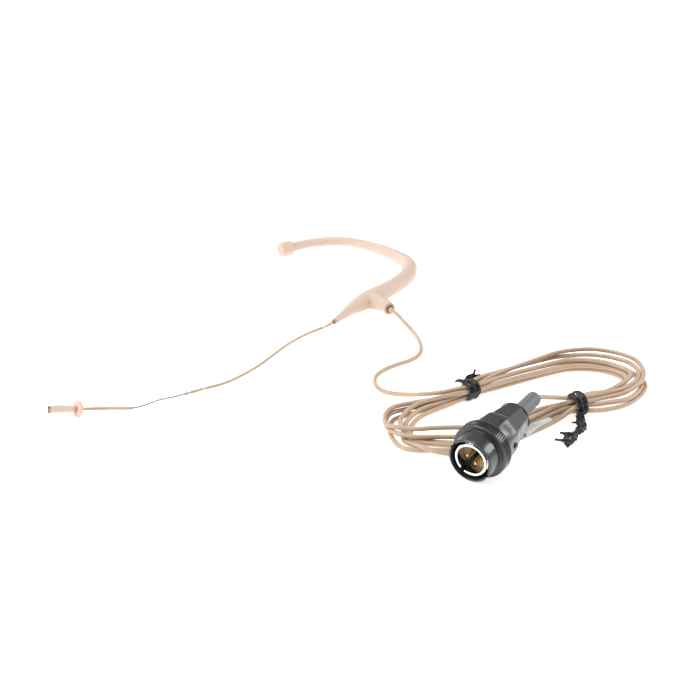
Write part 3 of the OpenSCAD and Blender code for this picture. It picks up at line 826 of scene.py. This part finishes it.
# ---------- cable, ties and sleeve ----------
def cable():
    """The whole cable as one curve, from the ear plug to the boot."""
    curve = bpy.data.curves.new("cable", "CURVE")
    curve.dimensions = "3D"
    curve.bevel_depth = CABLE_D / 2 * MM
    curve.bevel_resolution = 4
    curve.use_fill_caps = True
    spline = curve.splines.new("POLY")
    spline.points.add(len(cord_path) - 1)
    for point, p in zip(spline.points, cord_path):
        point.co = (*(p * MM), 1)
    spline.use_smooth = True
    curve.materials.append(material["cable_tan"])
    obj = bpy.data.objects.new("cable", curve)
    scene.collection.objects.link(obj)
    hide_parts("cable_lead", "cable_hank", "cable_tail")
    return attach(obj, "cable_body")


def ear_plug():
    """The cable's tapered relief at the ear end."""
    outline = [(0.05, 0.5), (1.0, 0.5), (1.0, 0.95), (0.93, 1.5), (0.85, 2.6), (0.8, 3.4), (0.05, 3.4)]
    verts, faces = turned(outline, 48, 0.08)
    piece("ear_relief", verts, faces, "cable_body", "cable_tan", ["ear_plug_relief"], at_socket)


# The tie's strip in section: how far across, and how thick, with a wire down its middle
STRIP_ACROSS = np.array([-1, -0.93, -0.72, -0.5, -0.3, -0.12, 0, 0.12, 0.3, 0.5, 0.72, 0.93, 1])
STRIP_LIFT = np.array([0.2, 0.45, 0.35, 0.9, 0.35, 1.1, 1.5, 1.1, 0.35, 0.9, 0.35, 0.45, 0.2])
TIE_WIDTH = 2.3
TIE_THICK = 0.3
ON_TABLE = 0.05         # thin pieces lie no lower than this
FLAP_LEAN = math.radians(-8)


def ribbon(path, normals, halves):
    """A flat strip along the path, square to its normals, reaching each half width to either side."""
    tangent = np.gradient(path, axis=0)
    tangent /= np.linalg.norm(tangent, axis=1)[:, None]
    flat = np.cross(tangent, normals)
    flat /= np.linalg.norm(flat, axis=1)[:, None]
    up = np.cross(flat, tangent)
    across = np.concatenate([STRIP_ACROSS, STRIP_ACROSS[::-1]])
    lift = np.concatenate([STRIP_LIFT, -STRIP_LIFT[::-1]]) * TIE_THICK
    reach = np.where(across < 0, halves[:, :1], halves[:, 1:]) * across
    verts = path[:, None] + flat[:, None] * reach[:, :, None] + up[:, None] * lift[None, :, None]
    verts[:, :, 2] = np.maximum(verts[:, :, 2], ON_TABLE)
    return verts.reshape(-1, 3), capped_faces(len(path), len(across))


def film(rows, jag, seed):
    """A strip through rows of x, y, z, roll in degrees and the half widths on its two sides, torn by jag."""
    line = resample(smooth(rows, 8), 0.18)
    path = line[:, :3]
    roll = np.radians(line[:, 3])
    halves = np.maximum(line[:, 4:], 0.03)
    rng = np.random.default_rng(seed)
    tear = np.repeat(rng.uniform(-1, 1, (len(path) // 3 + 1, 2)), 3, axis=0)[:len(path)]
    halves = halves * (1 + jag * tear)
    tangent = along(path)[0]
    level = np.cross([0, 0, 1.0], tangent)
    level /= np.linalg.norm(level, axis=1)[:, None]
    normals = np.cos(roll)[:, None] * np.cross(tangent, level) + np.sin(roll)[:, None] * level
    return ribbon(path, normals, halves)


def wrap(middle, turn, stations, flap, wave, seed):
    """A strip wound round the bundle, with a loose flap of some length before its first station.

    A station is how many degrees round from the bundle's back the strip has come, and how far along.
    """
    direction = np.array([math.cos(turn), math.sin(turn), 0])
    side = np.array([-math.sin(turn), math.cos(turn), 0])
    upward = np.array([0, 0, 1.0])
    off = cord_path - np.array(middle)
    near = (np.abs(off @ direction) < 1.6) & (np.linalg.norm(off, axis=1) < 7)
    strands = np.column_stack([off[near] @ side, off[near] @ upward])
    centre = (strands.max(axis=0) + strands.min(axis=0)) / 2
    degrees, shifts = np.array(stations, float).T
    fine = np.arange(degrees[0], degrees[-1], 4.0)
    angle = np.radians(fine)
    around = np.column_stack([np.cos(angle), np.sin(angle)])
    reach = ((strands - centre) @ around.T).max(axis=0) + CABLE_D / 2 + TIE_THICK
    reach = reach + 0.12 * (fine - fine[0]) / 360
    local = around * reach[:, None] + centre
    path = np.array(middle) + local[:, :1] * side + local[:, 1:] * upward
    path = path + direction * np.interp(fine, degrees, shifts)[:, None]
    out = around[:, :1] * side + around[:, 1:] * upward
    back = np.linspace(flap, 0, 9)[:-1, None]
    lead = path[0] + side * back - upward * 0.05 * back**2
    path = np.vstack([lead, path])
    lean = np.linspace(FLAP_LEAN, 0, len(lead))[:, None]
    normals = np.vstack([np.cos(lean) * out[0] + np.sin(lean) * direction, out])
    path[:, 2] = np.maximum(path[:, 2], 0.25)
    rng = np.random.default_rng(seed)
    ripple = 1 + wave * np.sin(np.linspace(0, 9, len(path))[:, None] + rng.uniform(0, 6, 2))
    return ribbon(path, normals, TIE_WIDTH / 2 * ripple)


def joined(parts):
    """Several solids as one set of verts and faces."""
    verts, faces = [], []
    for part_verts, part_faces in parts:
        faces += [tuple(k + len(verts) for k in f) for f in part_faces]
        verts += [tuple(v) for v in part_verts]
    return verts, faces


TIE_1 = (70.6, -58.4, 3.3)
TIE_1_TURN = math.radians(37)
TIE_2 = (102.9, -66.8, 3.3)
TIE_2_TURN = math.radians(33)
# Rows of the strips' free ends: x, y, z, roll, half widths
TIE_1_END = [
    (69.4, -54.9, 4.2, 60, 0.8, 0.8), (70.2, -54.3, 5.2, 75, 0.9, 0.8), (71.6, -54.0, 5.6, 100, 0.9, 0.8),
    (72.8, -53.5, 5.5, 150, 0.9, 0.7), (73.8, -53.0, 5.3, 200, 0.7, 0.6), (74.8, -52.6, 5.2, 230, 0.1, 0.1),
]
TIE_1_SPIKE = [
    (72.3, -53.8, 5.5, 80, 0.6, 0.5), (72.5, -53.5, 6.4, 90, 0.5, 0.4), (72.9, -53.1, 7.6, 90, 0.05, 0.05),
]
TIE_2_END = [
    (104.2, -69.3, 2.2, 20, 0.6, 0.6), (103.9, -71.4, 1.8, 0, 0.9, 1.2), (103.5, -73.4, 1.6, -15, 1.2, 1.4),
    (103.1, -75.2, 1.5, -20, 1.5, 1.6), (102.9, -76.1, 1.4, -10, 1.6, 2.6), (102.8, -76.9, 1.4, -5, 1.7, 1.7),
    (102.7, -78.4, 1.4, 10, 1.8, 1.3), (102.0, -80.0, 1.4, 35, 1.6, 1.0), (100.6, -81.4, 1.4, 80, 1.4, 1.2),
    (99.4, -82.7, 1.4, 140, 1.7, 1.7), (98.6, -83.9, 1.2, 175, 1.9, 2.2), (97.8, -85.4, 1.1, 190, 1.6, 2.0),
    (97.2, -87.2, 0.8, 185, 1.3, 1.3), (96.7, -89.4, 0.5, 180, 0.1, 0.1),
]
TIE_2_SPIKE = [
    (99.0, -83.8, 1.3, 10, 1.6, 1.4), (97.4, -83.2, 1.4, 15, 1.1, 1.0), (95.6, -82.2, 1.3, 0, 0.05, 0.05),
]
TIE_2_WIRE = [
    (98.0, -86.8, 1.0, 0, 1.2, 1.4), (96.2, -86.2, 0.9, 20, 0.6, 0.8), (93.6, -85.0, 0.6, 0, 0.05, 0.08),
]


def ties():
    """The two twist ties: a strip wound nearly twice round the bundle, and its torn and twisted ends."""
    band = wrap(TIE_1, TIE_1_TURN, [(86, -1.2), (270, -1.1), (450, 1.15), (700, 1.3)], 4.6, 0.04, 1)
    parts = [band, film(TIE_1_END, 0.06, 2), film(TIE_1_SPIKE, 0.1, 3)]
    piece("tie_left", *joined(parts), "cable_body", "tie_black", ["twist_tie_1"])
    stations = [(84, -1.6), (150, -0.9), (235, 0.2), (300, 0.5), (450, 1.3), (540, 1.1), (630, 0.9)]
    band = wrap(TIE_2, TIE_2_TURN, stations, 1.6, 0.06, 4)
    parts = [band, film(TIE_2_END, 0.14, 5), film(TIE_2_SPIKE, 0.2, 6), film(TIE_2_WIRE, 0.2, 7)]
    piece("tie_right", *joined(parts), "cable_body", "tie_black", ["twist_tie_2"])


SLEEVE_MIDDLE = np.array([88.2, -77.9, 0.9])
SLEEVE_LENGTH = 12.5
SLEEVE_THICK = 0.12


def sleeve():
    """A loose wrap of translucent film round the cable: close at one end, flaring towards the plug."""
    run = lengths(cord_path)
    middle = run[np.argmin(np.linalg.norm(cord_path - SLEEVE_MIDDLE, axis=1))]
    path = resample(between(cord_path, middle - SLEEVE_LENGTH / 2, middle + SLEEVE_LENGTH / 2), 0.4)
    if path[0, 0] < path[-1, 0]:
        path = path[::-1]
    share = np.linspace(0, 1, len(path))
    path[:, 2] += 0.15 + 0.35 * share
    path[:, 1] -= 0.5 * share
    _, side, up = along(path)
    angle = round_angles(40)
    wide = 1.05 + 1.1 * share**1.2
    tall = 1.0 + 0.25 * share
    walls = []
    for inset in (0, SLEEVE_THICK):
        across = (wide - inset)[:, None, None] * np.cos(angle)[None, :, None] * side[:, None]
        upright = (tall - inset)[:, None, None] * np.sin(angle)[None, :, None] * up[:, None]
        walls.append(path[:, None, :3] + across + upright)
    verts = np.vstack([walls[0], walls[1][::-1]]).reshape(-1, 3)
    verts[:, 2] = np.maximum(verts[:, 2], ON_TABLE)
    faces = grid_faces(2 * len(path), len(angle), wrap=True)
    piece("label_film", verts, faces, "cable_body", "clear_sleeve", ["label_sleeve"])


# ---------- plug ----------
KNURLS = 72
RIBS_FROM = 5.8
RIBS_TO = 8.75
RIB_FOOT = 7.9          # points further out than this carry the ribs
RIB_DEPTH = 0.42
NOTCH_DEPTH = 2.4
NOTCH_HALF = 1.1
KEY_TURN = 33           # degrees round the plug's axis to the key, and a quarter turn on to the pins
PINS_TURN = KEY_TURN + 90
PIN_OFF = 1.55
SPRING_TURNS = (174, 270)
SCREW_TURN = Matrix.Rotation(math.radians(-85), 4, "Z")
SCREW_AT = 14.5


def coupling_ring():
    """The knurled bayonet ring: a smooth hood with two notches, then a band of fine ribs."""
    def shaped(a, r, z):
        wave = np.clip(1.6 * np.cos(KNURLS * a), -1, 1) * 0.5 + 0.5
        inside = np.clip(np.minimum(z - RIBS_FROM, RIBS_TO - z) / 0.18, 0, 1)
        ribbed = np.where(r > RIB_FOOT, r - RIB_DEPTH * (1 - wave) * inside, r)
        across = np.abs(r * np.sin(a - math.radians(PINS_TURN)))
        return ribbed, np.where((across < NOTCH_HALF) & (z < NOTCH_DEPTH), NOTCH_DEPTH, z)

    outline = [
        (6.0, 0), (6.45, 0), (6.66, 0.22), (6.72, 2.5), (6.78, 5.3), (6.9, 5.42), (7.8, 5.42), (8.14, 5.5),
        (8.3, 5.68), (8.3, 5.8), (8.3, 5.98), (8.3, 7.4), (8.3, 8.58), (8.3, 8.75), (8.34, 8.95), (8.2, 9.15),
        (7.8, 9.3), (5.35, 9.3), (5.35, 6.5), (6.0, 6.5),
    ]
    verts, faces = turned(outline, KNURLS * 8, 0.1, shaped)
    piece("bayonet_ring", verts, faces, "coupling_body", "plug_black", ["coupling_ring"], at_plug)


def pin_place(side):
    """Where a pin stands, to one side of the plug's axis or the other."""
    return Matrix.Rotation(math.radians(PINS_TURN), 4, "Z") @ Matrix.Translation((side * PIN_OFF * MM, 0, 0))


def front_parts():
    """The washer behind the ring, the silver shell, the brown insert with its holes, and the key bar."""
    washer = [(5.5, 9.42), (7.55, 9.42), (7.55, 9.7), (5.5, 9.7)]
    piece("washer", *turned(washer, 96, 0.06), "cable_body", "silver_metal", ["thrust_washer"], at_plug)
    shell = [
        (4.25, 0.6), (4.9, 0.6), (5.0, 0.75), (5.0, 9.8), (5.6, 9.8), (5.6, 11.3), (5.0, 11.3), (5.0, 14),
        (4.25, 14),
    ]
    mesh = cut(*turned(shell, 128, 0.12), [box((2, -0.7, -1), (6, 0.7, 3.6), KEY_TURN)], at_plug)
    finish_piece("inner_shell", mesh, "cable_body", "silver_metal", ["plug_shell"])
    insert = [(0, 4.2), (4.2, 4.2), (4.2, 10.2), (0, 10.2)]
    cutters = [box((-1, -0.62, 0), (6.4, 0.62, 6), KEY_TURN)]
    for side in (-1, 1):
        cutters.append(moved(cylinder(0.62, 2, 4.7, 32), pin_place(side)))
        cutters.append(moved(cylinder(0.46, 3, 12, 32), pin_place(side)))
    mesh = cut(*turned(insert, 96, 0.15), cutters, at_plug)
    finish_piece("insert", mesh, "cable_body", "insert_brown", ["plug_insulator"])
    mesh = cut(*box((-0.95, -0.6, 2), (4.15, 0.6, 5.9), KEY_TURN), [], at_plug, 0.12)
    finish_piece("key", mesh, "cable_body", "black_plastic", ["key_bar"])


def pins():
    """Two gold contacts with domed tips."""
    dome = [(0.45 * math.sin(a), 1.25 - 0.45 * math.cos(a)) for a in np.linspace(0, math.pi / 2, 6)]
    outline = [*dome, (0.45, 11.8), (0, 11.8)]
    parts = [moved(turned(outline, 32, 0.01), pin_place(side)) for side in (-1, 1)]
    piece("contacts", *joined(parts), "cable_body", "gold_contact", ["contact_pins"], at_plug)


def springs():
    """Bowed leaf springs between the shell and the coupling ring."""
    parts = []
    for turn in SPRING_TURNS:
        across = np.radians(np.linspace(turn - 17, turn + 17, 13))
        run = np.linspace(1.2, 7.5, 19)
        verts = []
        for z in run:
            bow = 0.25 * math.sin(math.pi * (z - run[0]) / (run[-1] - run[0]))
            for r, order in ((5.04 + bow, across), (5.2 + bow, across[::-1])):
                verts += [(r * math.cos(a), r * math.sin(a), z) for a in order]
        parts.append((verts, capped_faces(len(run), 2 * len(across))))
    piece("leaf_springs", *joined(parts), "cable_body", "silver_metal", ["shell_spring"], at_plug)


def octagon(a, r):
    """Radius of an octagon with corners at r, its corners eased."""
    step = math.pi / 4
    off = (a - step / 2) % step - step / 2
    flat = r * math.cos(step / 2) / np.cos(off)
    return np.minimum(flat, r * 0.985)


def screw_place(out):
    """Where the lock screw points out of the backshell, this far from the plug's axis."""
    shift = Matrix.Translation(Vector((out, 0, SCREW_AT)) * MM)
    return SCREW_TURN @ shift @ Matrix.Rotation(math.radians(90), 4, "Y")


def backshell():
    """The black rear housing: a collar that turns eight-sided, then an eight-sided taper to the boot."""
    def shape(a, r, z):
        eight = octagon(a, r)
        share = np.clip((z - 11.5) / 1.6, 0, 1)
        return np.where(r > 5.05, r + (eight - r) * share, r), z

    outline = [
        (5.65, 9.8), (7.3, 9.8), (7.4, 10.0), (7.35, 13.2), (7.15, 15.8), (6.85, 16.8), (6.5, 17.3),
        (5.2, 25.6), (5.05, 26.4), (4.45, 27.3), (2.5, 27.3), (2.5, 20), (4.2, 20), (4.2, 14.1),
        (5.05, 14.1), (5.05, 12), (5.65, 12),
    ]
    verts, faces = turned(outline, 256, 0.2, shape)
    mesh = cut(verts, faces, [moved(cylinder(0.9, 5, 9, 40), screw_place(0))], at_plug)
    finish_piece("rear_shell", mesh, "cable_body", "plug_black", ["backshell"])


def grub_screw():
    """The small socket screw that locks the backshell, in from its side."""
    outline = [(0, 0), (0.87, 0), (0.87, 1.95), (0.78, 2.08), (0.42, 2.08), (0.36, 1.5), (0, 1.45)]
    at_screw = at_plug @ screw_place(5.1)
    piece("grub_screw", *turned(outline, 36, 0.06), "cable_body", "plug_black", ["lock_screw"], at_screw)


def boot():
    """The grey rubber boot, round-ended, over the cable."""
    end = [(2.3 - 0.7 * (1 - math.cos(a)), 39 + 0.7 * math.sin(a)) for a in np.linspace(0, math.pi / 2, 7)]
    outline = [(0.77, 23), (4.1, 23), (4.1, 24.9), (2.45, 24.9), (2.45, 30), *end, (1.0, 39.7), (0.77, 39.4)]
    piece("boot", *turned(outline, 96, 0.1), "cable_body", "boot_grey", ["strain_relief_boot"], at_plug)


# ---------- the floor and the light ----------
SKY = 0.3
FLOOR_REACH = 6.0
FLOOR_GLOW = 0.65       # the table is lit from below, so shadows on it nearly vanish
LIGHTS_ROUND = Vector((0.03, -0.02, 0))
# Name, place from there in metres, size in metres, watts
SOFTBOXES = [
    ("softbox_left", (-0.75, -0.35, 0.6), 0.6, 7.0),
    ("softbox_top", (-0.05, 0.1, 1.0), 0.6, 6.0),
    ("softbox_right", (0.8, 0.15, 0.4), 0.35, 3.0),
    ("softbox_back", (-0.45, 0.8, 0.45), 0.5, 3.0),
]


def studio():
    """The plain white table, an even sky, and four softboxes round the part."""
    mesh = bpy.data.meshes.new("floor")
    corners = [(FLOOR_REACH * x, FLOOR_REACH * y, 0) for x, y in ((-1, -1), (1, -1), (1, 1), (-1, 1))]
    mesh.from_pydata(corners, [], [(0, 1, 2, 3)])
    floor = bpy.data.objects.new("floor", mesh)
    scene.collection.objects.link(floor)
    paper, shader = node_material("paper", (0.93, 0.93, 0.93), 0.85)
    link = paper.node_tree.links.new
    fibre = noise(paper, coordinates(paper), 0.02, 4)
    link(tint(paper, fibre, (0.925, 0.925, 0.925), (0.94, 0.94, 0.94)), shader.inputs["Base Color"])
    shader.inputs["Emission Color"].default_value = (1, 1, 1, 1)
    shader.inputs["Emission Strength"].default_value = FLOOR_GLOW
    mesh.materials.append(paper)
    world = bpy.data.worlds.new("world")
    world.use_nodes = True
    sky = world.node_tree.nodes["Background"]
    sky.inputs["Color"].default_value = (1, 1, 1, 1)
    sky.inputs["Strength"].default_value = SKY
    scene.world = world
    for name, place_at, size, power in SOFTBOXES:
        data = bpy.data.lights.new(name, "AREA")
        data.size = size
        data.energy = power
        light = bpy.data.objects.new(name, data)
        light.location = LIGHTS_ROUND + Vector(place_at)
        light.rotation_mode = "QUATERNION"
        light.rotation_quaternion = (-Vector(place_at)).to_track_quat("-Z", "Y")
        scene.collection.objects.link(light)
    scene.view_settings.view_transform = "Standard"
    scene.view_settings.look = "None"


# ---------- the build ----------
cord = cable()
hook_skin()
hook_tip()
hook_fittings()
boom()
capsule()
moisture_ring()
ear_plug()
ties()
sleeve()
coupling_ring()
front_parts()
pins()
springs()
backshell()
grub_screw()
boot()
studio()

# Every CAD node takes its slot's material, and those that no piece replaces keep their slot
slot_of = {s["node"]: s["material_slot"] for s in frame["record"]["subparts"]}
for node, obj in frame["nodes"].items():
    obj.data.materials.clear()
    obj.data.materials.append(material[slot_of[node]])
